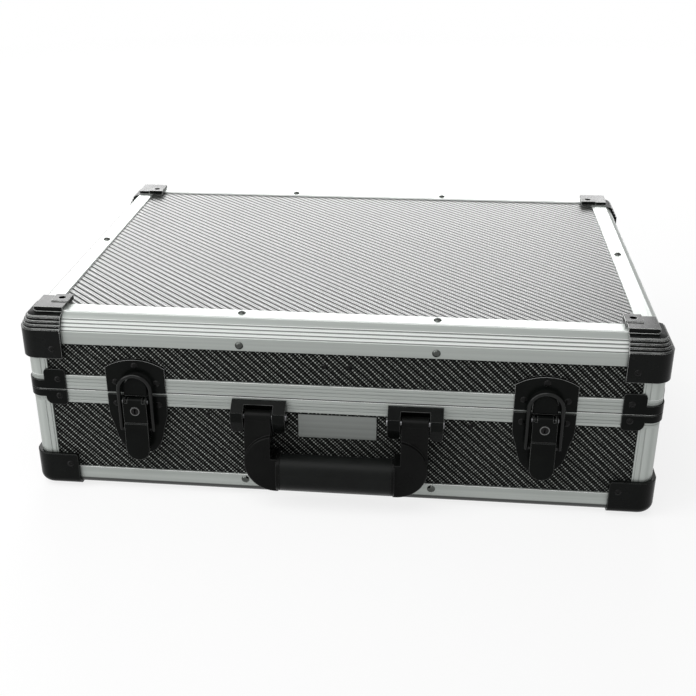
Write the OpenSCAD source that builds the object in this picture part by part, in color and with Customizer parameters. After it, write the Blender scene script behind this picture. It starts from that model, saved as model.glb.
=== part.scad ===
// Tool case: laminated panels held in aluminium edge profiles, a hinged lid, two lever latches
// with key locks, and a folding handle. Millimetres, with +X to the right, +Y to the rear and
// +Z up. The origin is on the ground, under the middle of the whole case with its handle and
// hinges counted. An inset is measured from the outer plane of the aluminium inwards, and an
// outset from the same plane outwards.

/* [Case] */
// Width over the aluminium profiles
case_w = 460; // [400:1:560]
// Depth over the aluminium profiles
case_d = 322; // [280:1:420]
// Height of the base from its underside to the parting line
base_h = 81.5; // [76:0.5:120]
// Height of the lid from the parting line to its top face
lid_h = 60; // [56:0.5:90]
// Gap between the rims of base and lid
seam_gap = 0.3; // [0.2:0.05:0.6]
// Plan radius of the vertical corners
corner_r = 10; // [9.75:0.25:11]
// Thickness of the laminated panels
panel_t = 4; // [3:0.5:4.5]
// Thickness of the foam lining
lining_t = 3; // [2:0.5:6]
// Gap between the lining and the walls
lining_gap = 0.2; // [0.1:0.1:0.5]

/* [Aluminium profiles] */
// Thickness of every leg
leg_t = 1.5; // [1.2:0.1:2]
// Width of the legs on the top and bottom faces
flat_leg = 21; // [19:0.5:26]
// Width of the corner post legs
post_leg = 16; // [14:0.5:20]
// Height of the lower edge leg on the side faces
lower_leg = 15.2; // [14:0.2:18]
// Height from the lid's top face to the lower end of its edge profile
upper_leg = 22.7; // [21.5:0.1:26]
// Side of the web that the panel ends stand on
web = 9.5; // [8.5:0.25:9.5]
// Radius of the lower outer edge
lower_edge_r = 5.5; // [4:0.5:6]
// Depth of the panel ends under the lid's top face
upper_web = 17; // [16:0.25:18]
// Height of the slope inside the lid's edge profile
slope_h = 5; // [4:0.25:6]
// Width of the slope inside the lid's edge profile
slope_w = 3.1; // [2.5:0.1:3.5]
// Inset of the lid's top face edge, where the shoulder starts
shoulder_in = 9; // [8.5:0.25:10]
// Height of the fine lip at the shoulder's upper edge
shoulder_lip = 1; // [0.6:0.1:1.4]
// Number of ribs on the shoulder
rib_count = 4; // [3:1:4]
// Drop from the top face to the lowest rib
rib_drop = 12.8; // [12:0.2:13.4]
// Rise from one rib to the next
rib_rise = 2.55; // [2:0.05:2.6]
// Step inwards from one rib to the next
rib_step = 1.15; // [0.9:0.05:1.2]
// Bevel on the outer edge of each rib
rib_bevel = 0.35; // [0.2:0.05:0.5]
// Height of the lid's closure profile
lid_closure_h = 11.4; // [10.5:0.1:13]
// Height of the base's closure profile
base_closure_h = 10.5; // [10:0.1:13]
// Height of the closure's web between its legs
closure_web = 5; // [4.5:0.25:6]
// Inset of the sealing tongue's middle
tongue_in = 3.6; // [3.4:0.1:3.9]
// Height of the sealing tongue
tongue_h = 2.6; // [2:0.1:2.8]
// Width of the tongue at its foot
tongue_w = 2.2; // [1.6:0.1:2.4]
// Play on each side of the tongue in its groove
tongue_play = 0.5; // [0.4:0.05:0.7]
// Width of the fine grooves along the closures and posts
fine_w = 0.6; // [0.4:0.1:0.8]
// Depth of the fine grooves
fine_d = 0.4; // [0.2:0.1:0.6]

/* [Corner caps] */
// How far the caps stand proud of the aluminium
cap_proud = 3; // [2:0.25:3.5]
// Reach of the caps along each face
cap_reach = 29.4; // [27:0.2:34]
// Drop of the lid caps' skirt from the top face
lid_skirt = 33.6; // [30:0.2:36]
// Rise of the base caps' skirt from the underside
base_skirt = 26.6; // [24:0.2:30]
// Drop from the top face to the caps' lowest rib
cap_rib_drop = 10.8; // [10.4:0.2:11.4]
// Rise from one cap rib to the next
cap_rib_rise = 2.6; // [2.2:0.1:2.7]
// Step inwards from one cap rib to the next
cap_rib_step = 1.4; // [1.1:0.1:1.5]
// Bevel on the outer edge of each cap rib
cap_bevel = 0.5; // [0.3:0.1:0.7]
// Inset of the raised plate on each cap
plate_in = 8; // [7.5:0.25:8.5]
// Inset of the raised plate's inner edges
plate_end = 29.6; // [28.4:0.2:32]
// Height of the raised plate over the lid's top face
plate_rise = 2.8; // [2.4:0.2:4]
// Height of the feet under the case
foot_h = 3.5; // [3:0.25:6]
// Inset of the screw pad's outer edges
pad_in = 18; // [16:0.5:20]
// Inset of the screw pad's inner edges
pad_end = 30.6; // [30:0.1:33]
// Rise of the screw pad over the plate
pad_rise = 0.8; // [0.5:0.1:1.5]
// Skin of the base caps under the case
cap_skin = 1; // [0.6:0.1:1.5]
// Radius of the base caps' lower outer edge
cap_edge_r = 7; // [6:0.5:8]
// Radius of the base caps' upper inner corners
cap_corner_r = 2; // [1:0.5:3]

/* [Closure corners] */
// Thickness of the corner brackets
bracket_t = 1.2; // [0.8:0.1:1.6]
// Inset of the bracket tab's outer end
tab_in = 12.6; // [11.5:0.2:14]
// Inset of the bracket tab's inner end
tab_end = 28.8; // [26:0.2:32]
// Height of the lid bracket's tab from the parting line
lid_tab_h = 16.7; // [14:0.1:19]
// Height of the lid bracket's band from the parting line
lid_band_h = 7.3; // [5:0.1:9]
// Depth of the base bracket's tab under the parting line
base_tab_h = 12.4; // [11.5:0.1:16]
// Depth of the base bracket's band under the parting line
base_band_h = 6; // [4:0.1:8]
// Gap from the parting line to each bracket
bracket_gap = 0.5; // [0.3:0.1:1]

/* [Fasteners] */
// Head diameter of the bright rivets
rivet_d = 6; // [5:0.25:7]
// Head height of the bright rivets
rivet_h = 1.7; // [1.2:0.1:2]
// Head diameter of the black screws and rivets
screw_d = 5; // [4:0.25:6]
// Head height of the black screws and rivets
screw_h = 1.1; // [0.8:0.1:1.6]
// Shank diameter of every fastener
shank_d = 3; // [2:0.25:3.5]
// Head diameter of the small panel rivets
small_rivet_d = 4; // [3.5:0.25:5]
// Distance of the bright rivets from the ends of the long sides
rivet_from_end = 160; // [140:1:180]
// Inset of the bright rivets on the top and bottom faces
rivet_in = 15.7; // [14.5:0.1:17]

/* [Latches] */
// Distance of each latch from the end of the case
latch_from_end = 82; // [70:1:95]
// Width of the keeper and of the latch plate
latch_w = 44.2; // [42:0.1:50]
// Thickness of the keeper and latch plate in front of the aluminium
latch_t = 1.3; // [1:0.1:1.4]
// Height of the keeper over the parting line
keeper_h = 27; // [25:0.5:28]
// Radius of the keeper's arched top
keeper_r = 40; // [38:1:60]
// Gap from the parting line to the latch plate
latch_gap = 1.6; // [1.2:0.1:2.4]
// Depth of the latch plate under the parting line
latch_drop = 49.5; // [48:0.5:54]
// Width of the keeper's catch
catch_w = 17.6; // [15:0.2:18]
// Height of the catch over the parting line
catch_h = 13.8; // [12:0.2:14.2]
// Depth of the catch under the parting line
catch_drop = 0.8; // [0.4:0.1:1]
// Outset of the catch's face
catch_out = 4.2; // [3:0.1:4.3]
// Radius of the catch's outer edge
catch_round = 1; // [0.5:0.1:1.4]
// Distance of the lever's pivot under the parting line
lever_drop = 4.6; // [4.5:0.1:5.2]
// Outset of the lever's pivot
lever_out = 6; // [5.7:0.1:6.2]
// Radius of the lever's rolled end
lever_roll_r = 3.2; // [3:0.1:3.3]
// Width of the lever
lever_w = 17.6; // [17:0.2:18]
// Wall of the lever
lever_wall = 1.4; // [1.2:0.1:1.5]
// Distance from the parting line to the lever's tip
lever_tip = 51.2; // [50:0.2:54]
// Distance from the parting line to the thumb part of the lever
thumb_drop = 21.2; // [20.6:0.1:22.4]
// Outset of the lever's tip
tip_out = 11; // [10:0.25:13]
// Thickness of each pivot ear
ear_t = 1.4; // [1.2:0.1:1.6]
// Radius of each pivot ear
ear_r = 2.2; // [2:0.1:2.4]
// Gap between a moving piece and its ear
ear_gap = 0.25; // [0.15:0.05:0.3]
// Radius of the lever's pin
lever_pin_r = 1.2; // [1:0.1:1.3]
// Play of every pivot in its bore
pivot_play = 0.06; // [0.04:0.01:0.09]
// Diameter of the bail's wire
wire_d = 3.2; // [2.8:0.1:3.2]
// Width of the bail over its wire
bail_w = 27; // [26.6:0.2:28]
// Height of the bail's arch over the parting line
bail_top = 18; // [17.8:0.1:19]
// Distance of the bail's pivot under the parting line
bail_drop = 27.3; // [26.8:0.1:29]
// Outset of the bail's wire
bail_out = 6.2; // [6.1:0.1:6.4]
// Radius of the bail's pivots
bail_pivot_r = 1.1; // [0.9:0.1:1.3]
// Distance of the key lock under the parting line
lock_drop = 11; // [10.8:0.1:11.6]
// Radius of the lock plug
lock_r = 3.4; // [3:0.1:3.6]
// Outset of the lock plug's face
lock_out = 9.7; // [9.4:0.1:10.2]
// Length of the lock's cam
cam_l = 5; // [4.4:0.1:5.1]
// Width of the lock's cam
cam_w = 4.2; // [3.6:0.1:4.4]
// Thickness of the lock's cam
cam_t = 1.2; // [1:0.1:1.4]
// Outset of the cam's rear face
cam_out = 2.9; // [2.6:0.1:3]

/* [Handle] */
// Distance of each handle bracket from the middle of the case
bracket_x = 57; // [55:0.5:66]
// Width of each handle bracket
bracket_w = 40; // [36:0.5:44]
// Depth of the bracket's top under the parting line
bracket_top = 1.7; // [1.5:0.1:2.2]
// Depth of the bracket's lower end under the parting line
bracket_low = 25; // [24:0.5:27]
// Outset of the bracket's ears
bracket_out = 11.6; // [11:0.1:12]
// Drop of the bracket's slanting top
bracket_slope = 5.9; // [5:0.1:6.5]
// Height of the bracket's bar over the arm
bracket_bar = 2; // [1.6:0.1:2.4]
// Radius of the bracket's lower corners
bracket_foot_r = 4; // [2:0.25:4.25]
// Distance of the handle's pivot under the parting line
handle_drop = 12.5; // [12:0.25:13.5]
// Outset of the handle's pivot
handle_out = 5.5; // [5.4:0.1:6]
// Radius of the handle's pin
handle_pin_r = 2; // [1.6:0.1:2.4]
// Width of each handle arm
arm_w = 19.4; // [18:0.2:20.6]
// Gap on each side of an arm in its bracket
arm_gap = 1; // [0.3:0.1:1.2]
// Thickness of each handle arm at its pivot
arm_t = 7; // [6:0.25:8]
// Outset of the arms' front face at the corners
arm_out = 14.5; // [13:0.25:16]
// Distance from the pivot to the end of the arms' taper
arm_taper = 11.5; // [10:0.5:13]
// Radius of the arm's knuckle
knuckle_r = 5; // [4.4:0.1:5]
// Distance of the grip's middle under the parting line
grip_drop = 54.8; // [54:0.1:58]
// Height of the grip's section
grip_h = 27.5; // [26:0.25:30]
// Depth of the grip's section
grip_d = 21; // [18:0.5:22]
// Length of the grip
grip_l = 81.5; // [74:0.5:86]
// Depth of the core bar inside the grip
core_d = 12; // [10:0.5:14]
// Height of the core bar inside the grip
core_h = 20; // [16:0.5:22]
// Thickness of the collars at the grip's ends
collar_t = 2.5; // [2:0.25:4]
// How far the collars stand proud of the grip
collar_rise = 0.6; // [0.3:0.1:1]
// Radius of the handle's round corners
handle_corner_r = 23; // [21:0.5:24]
// Rounding of the handle's corner edges
shoulder_round = 1.8; // [1:0.1:2.5]
// Outset of the handle corners' front face
shoulder_out = 18; // [16:0.5:20]
// Gap between the handle and the case
handle_gap = 0.8; // [0.5:0.1:1.5]

/* [Name plate] */
// Width of the plate
name_w = 57.5; // [50:0.5:64]
// Height of the plate
name_h = 19; // [16:0.5:22]
// Thickness of the plate
name_t = 0.8; // [0.5:0.1:1.2]
// Depth of the plate's middle under the parting line
name_drop = 22.1; // [20.5:0.1:26]

/* [Hinges] */
// Distance of each hinge from the end of the case
hinge_from_end = 100; // [70:1:130]
// Width of each hinge
hinge_w = 50; // [40:1:60]
// Reach of each leaf from the parting line
leaf_h = 24; // [20:0.5:26]
// Thickness of each leaf in front of the aluminium
leaf_t = 1.5; // [1.2:0.1:1.6]
// Bevel at the corners of each leaf
leaf_bevel = 5.6; // [4:0.2:7]
// Inset of the outer leaf rivets from the ends of the leaf
leaf_rivet_in = 7; // [6:0.5:9]
// Distance of the outer leaf rivets from the parting line
leaf_rivet_z = 16.5; // [15.5:0.25:17]
// Distance of the middle leaf rivet from the parting line
leaf_mid_z = 19; // [18.5:0.25:20]
// Outset of the hinge's pin
hinge_out = 5.5; // [5.4:0.1:6.5]
// Radius of the hinge's knuckles
hinge_knuckle_r = 3.6; // [3.4:0.1:3.7]
// Radius of the hinge's pin
hinge_pin_r = 1.8; // [1.5:0.1:2]
// Length of the row of knuckles
knuckles = 42; // [30:1:44]
// Width of the middle knuckle
middle_knuckle = 17; // [14:0.5:20]
// Gap between the knuckles
knuckle_gap = 0.2; // [0.15:0.05:0.4]

/* [Hidden] */
$fn = 48;

// Heights
base_z = foot_h;
parting_z = base_z + base_h;
top_z = parting_z + lid_h;
base_rim_z = parting_z - seam_gap / 2;
lid_rim_z = parting_z + seam_gap / 2;
lower_leg_z = base_z + lower_leg;
upper_leg_z = top_z - upper_leg;
base_closure_z = base_rim_z - base_closure_h;
lid_closure_z = lid_rim_z + lid_closure_h;
// Inset of the panels' inner faces
inner_in = leg_t + panel_t;
// Plan places
grip_out = handle_gap + grip_d / 2;
front_reach = grip_out + grip_d / 2 + collar_rise;
rear_reach = hinge_out + hinge_knuckle_r;
mid_y = (front_reach - rear_reach) / 2;
front_y = mid_y - case_d / 2;
rivet_x = case_w / 2 - rivet_from_end;
latch_x = case_w / 2 - latch_from_end;
hinge_x = case_w / 2 - hinge_from_end;
// Upper end of the lid's panels and inset of its top panel
upper_web_z = top_z - upper_web;
top_panel_in = shoulder_in + 4;
// Width of the lever's rolled part, between its ears
lever_core_w = lever_w - 2 * (lever_wall + ear_t + 2 * ear_gap);
// Depth of the handle brackets' plate in front of the profile
bracket_skin = 0.2;
// Overlap of cutting bodies
cut = 1;

alu = [0.80, 0.81, 0.82];
black = [0.06, 0.06, 0.065];
steel_black = [0.09, 0.09, 0.10];
weave = [0.22, 0.22, 0.23];
bright = [0.88, 0.88, 0.90];
foam = [0.16, 0.16, 0.17];

// Placing

// One of the four sides, 0 front, 1 right, 2 rear, 3 left: local +Y is the inset
module on_side(i) {
    half = i % 2 == 0 ? case_d / 2 : case_w / 2;
    translate([0, mid_y, 0]) rotate([0, 0, 90 * i]) translate([0, -half, 0]) children();
}

// One of the four corners: local +X and +Y are the two insets
module in_corner(right, rear) {
    translate([0, mid_y, 0])
        mirror([right ? 1 : 0, 0, 0])
        mirror([0, rear ? 1 : 0, 0])
        translate([-case_w / 2, -case_d / 2, 0]) children();
}

// Rear face, with the same local axes as the front
module on_rear() {
    translate([0, 2 * mid_y, 0]) mirror([0, 1, 0]) children();
}

// Section in inset and height, run along X
module run(from_x, to_x) {
    translate([from_x, 0, 0]) rotate([90, 0, 90]) linear_extrude(to_x - from_x) children();
}

// Outline in X and Z, from one outset to another
module raise(from_out, to_out) {
    translate([0, -from_out, 0]) rotate([90, 0, 0]) linear_extrude(to_out - from_out) children();
}

// Section in inset and height, turned round the vertical corner
module turn_corner() {
    translate([corner_r, corner_r, 0]) rotate([0, 0, 180]) rotate_extrude(angle = 90)
        translate([corner_r, 0]) mirror([1, 0]) children();
}

// Both sides of a corner
module both_ways() {
    children();
    mirror([1, -1, 0]) children();
}

module pair(x) {
    for (side = [-1, 1]) translate([side * x, 0, 0]) children();
}

function side_length(i) = i % 2 == 0 ? case_w : case_d;

// Fasteners: local +Z points out of the face

// Spherical head on a plain shank
module stud(d, h, depth) {
    r = (d * d / 4 + h * h) / (2 * h);
    intersection() {
        translate([0, 0, h - r]) sphere(r = r);
        cylinder(d = d + cut, h = h + cut);
    }
    translate([0, 0, -depth]) cylinder(d = shank_d, h = depth);
}

// Screw with a cross slot
module screw(depth) {
    difference() {
        stud(screw_d, screw_h, depth);
        for (a = [45, 135]) rotate([0, 0, a])
            translate([-screw_d * 0.3, -0.3, screw_h * 0.45]) cube([screw_d * 0.6, 0.6, screw_h]);
    }
}

module facing_out() {
    rotate([90, 0, 0]) children();
}

// Panels

// Upright panel of one side; the front ones are pierced for two small rivets
module side_panel(i, from_z, to_z, rivets) {
    color(weave) on_side(i) difference() {
        translate([-side_length(i) / 2 + corner_r, leg_t, from_z])
            cube([side_length(i) - 2 * corner_r, panel_t, to_z - from_z]);
        if (i == 0) for (p = rivets)
            translate([p[0], leg_t, parting_z + p[1]]) facing_out() rivet_hole(panel_t);
    }
}

module base_panel(i) {
    side_panel(i, base_z + web, base_rim_z - closure_web, base_panel_rivets);
}

module lid_panel(i) {
    side_panel(i, lid_rim_z + closure_web, upper_web_z, lid_panel_rivets);
}

module base_bottom_panel() {
    color(weave) translate([-case_w / 2 + corner_r, front_y + corner_r, base_z + leg_t])
        cube([case_w - 2 * corner_r, case_d - 2 * corner_r, panel_t]);
}

module lid_top_panel() {
    color(weave) translate([-case_w / 2 + top_panel_in, front_y + top_panel_in, top_z - inner_in])
        cube([case_w - 2 * top_panel_in, case_d - 2 * top_panel_in, panel_t]);
}

// Aluminium profiles

// Steps of the ribbed shoulder as inset and height, from the lowest rib upwards
function ribs(from_in, drop, step, rise, bevel) = [for (i = [0 : rib_count - 1]) each [
    [from_in + step * i, rise * i - drop - bevel],
    [from_in + step * i + bevel, rise * i - drop],
    [from_in + step * (i + 1), rise * i - drop]]];

shoulder_line = concat(
    ribs(0, rib_drop, rib_step, rib_rise, rib_bevel),
    [[rib_step * rib_count, rib_rise * (rib_count - 1) - rib_drop + 1],
        [shoulder_in, -shoulder_lip], [shoulder_in, 0]]);

// Edge profile of the lid: heights from the top face
module top_edge_section() {
    polygon(concat([[leg_t, -upper_leg], [0, -upper_leg]], shoulder_line,
        [[flat_leg, 0], [flat_leg, -leg_t], [top_panel_in, -leg_t], [top_panel_in, -inner_in],
            [inner_in + slope_w, -inner_in], [inner_in, -inner_in - slope_h],
            [inner_in, -upper_web], [leg_t, -upper_web]]));
}

// Edge profile of the base: heights from the underside
module bottom_edge_section() {
    difference() {
        union() {
            square([flat_leg, leg_t]);
            square([leg_t, lower_leg]);
            square([web, web]);
        }
        translate([inner_in, inner_in]) square(web);
        difference() {
            translate([-cut, -cut]) square(lower_edge_r + cut);
            translate([lower_edge_r, lower_edge_r]) circle(r = lower_edge_r);
        }
    }
}

// Bar along one side, square at the cap's core and mitred behind it
module mitred_bar(i, z) {
    l = side_length(i);
    on_side(i) translate([-l / 2, 0, z]) intersection() {
        run(0, l) children();
        translate([0, 0, -2 * upper_leg]) linear_extrude(4 * upper_leg)
            polygon([[corner_r, -cut], [corner_r, corner_r], [flat_leg + cut, flat_leg + cut],
                [l - flat_leg - cut, flat_leg + cut], [l - corner_r, corner_r],
                [l - corner_r, -cut]]);
    }
}

// Rivets of one long or short side, at local X
function rivet_places(i) = i % 2 == 0 ? [-rivet_x, rivet_x] : [0];

module rivet_row(i, z) {
    on_side(i) for (x = rivet_places(i)) translate([x, 0, z]) facing_out() children();
}

module rivet_hole(depth) {
    translate([0, 0, -depth - cut]) cylinder(d = shank_d, h = depth + 2 * cut);
}

upper_rivet_z = upper_leg_z + 4.1;
lower_rivet_z = lower_leg_z - 4.2;

module lid_top_edges() {
    color(alu) for (i = [0 : 3]) difference() {
        mitred_bar(i, top_z) top_edge_section();
        rivet_row(i, upper_rivet_z) rivet_hole(leg_t);
        on_side(i) for (x = rivet_places(i)) translate([x, rivet_in, top_z]) rivet_hole(leg_t);
    }
}

module base_bottom_edges() {
    color(alu) for (i = [0 : 3]) difference() {
        mitred_bar(i, base_z) bottom_edge_section();
        rivet_row(i, lower_rivet_z) rivet_hole(leg_t);
        on_side(i) for (x = rivet_places(i))
            translate([x, rivet_in, base_z]) mirror([0, 0, 1]) rivet_hole(leg_t);
    }
}

module lid_rivets() {
    color(bright) for (i = [0 : 3]) {
        rivet_row(i, upper_rivet_z) stud(rivet_d, rivet_h, leg_t);
        on_side(i) for (x = rivet_places(i))
            translate([x, rivet_in, top_z]) stud(rivet_d, rivet_h, leg_t);
    }
}

module base_rivets() {
    color(bright) for (i = [0 : 3]) {
        rivet_row(i, lower_rivet_z) stud(rivet_d, rivet_h, leg_t);
        on_side(i) for (x = rivet_places(i))
            translate([x, rivet_in, base_z]) mirror([0, 0, 1]) stud(rivet_d, rivet_h, leg_t);
    }
}

// Corner post in plan: round outside, with a web for the panel ends and two fine grooves a leg
module post_plan() {
    difference() {
        intersection() {
            square(corner_r);
            translate([corner_r, corner_r]) circle(r = corner_r);
        }
        translate([inner_in, inner_in]) square(corner_r);
    }
    both_ways() difference() {
        translate([corner_r, 0]) square([post_leg - corner_r, leg_t]);
        for (x = [corner_r + 0.8, post_leg - 1.6]) translate([x, -cut]) square([fine_w, cut + fine_d]);
    }
}

module corner_posts(from_z, to_z) {
    color(alu) for (right = [false, true], rear = [false, true])
        in_corner(right, rear) translate([0, 0, from_z]) linear_extrude(to_z - from_z) post_plan();
}

// Closure profile: heights from its rim
module closure_section(h) {
    difference() {
        union() {
            square([leg_t, h]);
            square([inner_in + leg_t, closure_web]);
            translate([inner_in, 0]) square([leg_t, h]);
        }
        for (k = [0.26, 0.5, 0.74]) translate([-cut, h * k]) square([cut + fine_d, fine_w]);
    }
}

module lid_closure_section() {
    groove = tongue_w + 2 * tongue_play;
    difference() {
        closure_section(lid_closure_h);
        translate([tongue_in - groove / 2, -cut]) square([groove, cut + tongue_h + tongue_play]);
    }
}

module base_closure_section() {
    mirror([0, 1]) closure_section(base_closure_h);
    polygon([[tongue_in - tongue_w / 2, -cut], [tongue_in + tongue_w / 2, -cut],
        [tongue_in + tongue_w / 2, 0], [tongue_in + tongue_w / 4, tongue_h],
        [tongue_in - tongue_w / 4, tongue_h], [tongue_in - tongue_w / 2, 0]]);
}

module frame_ring() {
    for (i = [0 : 3]) on_side(i)
        run(corner_r - side_length(i) / 2, side_length(i) / 2 - corner_r) children();
    for (right = [false, true], rear = [false, true]) in_corner(right, rear) turn_corner() children();
}

module base_closure_frame() {
    color(alu) translate([0, 0, base_rim_z]) frame_ring() base_closure_section();
}

module lid_closure_frame() {
    color(alu) translate([0, 0, lid_rim_z]) frame_ring() lid_closure_section();
}

// Corner caps

cap_line = concat([[-cap_proud, -lid_skirt]],
    ribs(-cap_proud, cap_rib_drop, cap_rib_step, cap_rib_rise, cap_bevel),
    [[cap_rib_step * rib_count - cap_proud, cap_rib_rise * (rib_count - 1) - cap_rib_drop + 0.8],
        [plate_in, -0.9], [plate_in, plate_rise], [corner_r, plate_rise]]);

// Skin over the aluminium, and the core where the three profiles meet
module lid_cap_skin() {
    difference() {
        polygon(concat(cap_line, [[corner_r, -lid_skirt]]));
        polygon(concat([[0, -lid_skirt - cut]], shoulder_line,
            [[corner_r + cut, 0], [corner_r + cut, -lid_skirt - cut]]));
    }
}

module lid_cap_core() {
    polygon(concat(cap_line, [[corner_r, -upper_leg], [0, -upper_leg], [0, -lid_skirt]]));
}

// Raised plate on the face, with a pad for the screw
module cap_plate(rise, pad) {
    difference() {
        union() {
            translate([plate_in, plate_in, 0])
                cube([plate_end - plate_in, plate_end - plate_in, rise]);
            if (pad > 0) translate([pad_in, pad_in, 0])
                cube([pad_end - pad_in, pad_end - pad_in, rise + pad]);
            translate([flat_leg, flat_leg, -leg_t])
                cube([plate_end - flat_leg, plate_end - flat_leg, leg_t]);
        }
        translate([(pad_in + pad_end) / 2, (pad_in + pad_end) / 2, 0.8])
            cylinder(d = screw_d + 0.4, h = rise + pad + cut);
        translate([(pad_in + pad_end) / 2, (pad_in + pad_end) / 2, -leg_t - cut])
            cylinder(d = shank_d, h = leg_t + 0.8 + 2 * cut);
    }
}

lid_screw_z = -lid_skirt + 7.5;
lid_screw_in = 22;
base_screw_z = base_skirt - 8.3;
base_screw_in = 25;

module lid_cap(right, rear) {
    color(black) in_corner(right, rear) translate([0, 0, top_z]) {
        difference() {
            turn_corner() lid_cap_core();
            translate([inner_in, inner_in, -2 * upper_leg])
                cube([corner_r, corner_r, 2 * upper_leg - inner_in]);
        }
        both_ways() difference() {
            run(corner_r, cap_reach) lid_cap_skin();
            translate([lid_screw_in, -cap_proud, lid_screw_z]) facing_out() rivet_hole(cap_proud);
        }
        cap_plate(plate_rise, pad_rise);
    }
}

module base_cap_outline() {
    difference() {
        translate([-cap_proud, -cap_skin]) square([corner_r + cap_proud, base_skirt + cap_skin]);
        difference() {
            translate([-cap_proud - cut, -cap_skin - cut]) square(cap_edge_r + cut);
            translate([cap_edge_r - cap_proud, cap_edge_r - cap_skin]) circle(r = cap_edge_r);
        }
        polygon([[-cap_proud - cut, base_skirt - cap_bevel - cut], [-cap_proud - cut, base_skirt + cut],
            [-cap_proud + cap_bevel + cut, base_skirt + cut]]);
    }
}

module base_cap_skin() {
    difference() {
        base_cap_outline();
        difference() {
            square([corner_r + cut, base_skirt + cut]);
            difference() {
                translate([-cut, -cut]) square(lower_edge_r + cut);
                translate([lower_edge_r, lower_edge_r]) circle(r = lower_edge_r);
            }
        }
    }
}

module base_cap_core() {
    difference() {
        base_cap_outline();
        translate([0, lower_leg]) square([corner_r + cut, base_skirt]);
    }
}

module base_cap(right, rear) {
    color(black) in_corner(right, rear) translate([0, 0, base_z]) {
        difference() {
            turn_corner() base_cap_core();
            translate([inner_in, inner_in, inner_in]) cube([corner_r, corner_r, lower_leg]);
        }
        both_ways() difference() {
            run(corner_r, cap_reach + 2) base_cap_skin();
            raise(-cut, cap_proud + cut)
                translate([cap_reach + 2 - cap_corner_r, base_skirt - cap_corner_r]) difference() {
                    square(cap_corner_r + cut);
                    circle(r = cap_corner_r);
                }
            translate([base_screw_in, -cap_proud, base_screw_z]) facing_out() rivet_hole(cap_proud);
        }
        mirror([0, 0, 1]) cap_plate(foot_h, 0);
    }
}

// Closure corner brackets: heights from the parting line

// Tab with a band that runs to the corner
module bracket_outline(tab_h, band_h, outer_round, inner_round) {
    difference() {
        union() {
            translate([corner_r, bracket_gap]) square([tab_end - corner_r, band_h - bracket_gap]);
            translate([tab_in, bracket_gap]) square([tab_end - tab_in, tab_h - bracket_gap]);
        }
        difference() {
            translate([tab_in - cut, tab_h - outer_round]) square([outer_round + cut, outer_round + cut]);
            translate([tab_in + outer_round, tab_h - outer_round]) circle(r = outer_round);
        }
        difference() {
            translate([tab_end - inner_round, tab_h - inner_round]) square(inner_round + cut);
            translate([tab_end - inner_round, tab_h - inner_round]) circle(r = inner_round);
        }
    }
}

bracket_screw_in = 22.8;
bracket_screw_z = 8.4;
base_bracket_screw_z = 5.2;

module closure_corner(tab_h, band_h, outer_round, inner_round, screw_z) {
    turn_corner() translate([-bracket_t, bracket_gap]) square([bracket_t, band_h - bracket_gap]);
    both_ways() difference() {
        raise(0, bracket_t) bracket_outline(tab_h, band_h, outer_round, inner_round);
        translate([bracket_screw_in, -bracket_t, screw_z]) facing_out() rivet_hole(bracket_t);
    }
}

module lid_closure_corners() {
    color(black) for (right = [false, true], rear = [false, true])
        in_corner(right, rear) translate([0, 0, parting_z])
        closure_corner(lid_tab_h, lid_band_h, 3, 2, bracket_screw_z);
}

module base_closure_corners() {
    color(black) for (right = [false, true], rear = [false, true])
        in_corner(right, rear) translate([0, 0, parting_z]) mirror([0, 0, 1])
        closure_corner(base_tab_h, base_band_h, 5.5, 3, base_bracket_screw_z);
}

module lid_screws() {
    pad_mid = (pad_in + pad_end) / 2;
    color(steel_black) for (right = [false, true], rear = [false, true]) in_corner(right, rear) {
        both_ways() {
            translate([lid_screw_in, -cap_proud, top_z + lid_screw_z]) facing_out() screw(cap_proud);
            translate([bracket_screw_in, -bracket_t, parting_z + bracket_screw_z])
                facing_out() screw(bracket_t);
        }
        translate([pad_mid, pad_mid, top_z + 0.8]) screw(0.8 + leg_t);
    }
}

module base_screws() {
    pad_mid = (pad_in + pad_end) / 2;
    color(steel_black) for (right = [false, true], rear = [false, true]) in_corner(right, rear) {
        both_ways() {
            translate([base_screw_in, -cap_proud, base_z + base_screw_z]) facing_out() screw(cap_proud);
            translate([bracket_screw_in, -bracket_t, parting_z - base_bracket_screw_z])
                facing_out() screw(bracket_t);
        }
        translate([pad_mid, pad_mid, base_z - 0.8]) mirror([0, 0, 1]) screw(0.8 + leg_t);
    }
}

// Foam linings

module base_lining() {
    outer_in = inner_in + lining_gap;
    floor_z = base_z + inner_in + lining_gap;
    color(foam) difference() {
        translate([outer_in - case_w / 2, front_y + outer_in, floor_z])
            cube([case_w - 2 * outer_in, case_d - 2 * outer_in, base_closure_z - lining_gap - floor_z]);
        translate([outer_in + lining_t - case_w / 2, front_y + outer_in + lining_t, floor_z + lining_t])
            cube([case_w - 2 * (outer_in + lining_t), case_d - 2 * (outer_in + lining_t), base_h]);
    }
}

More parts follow.
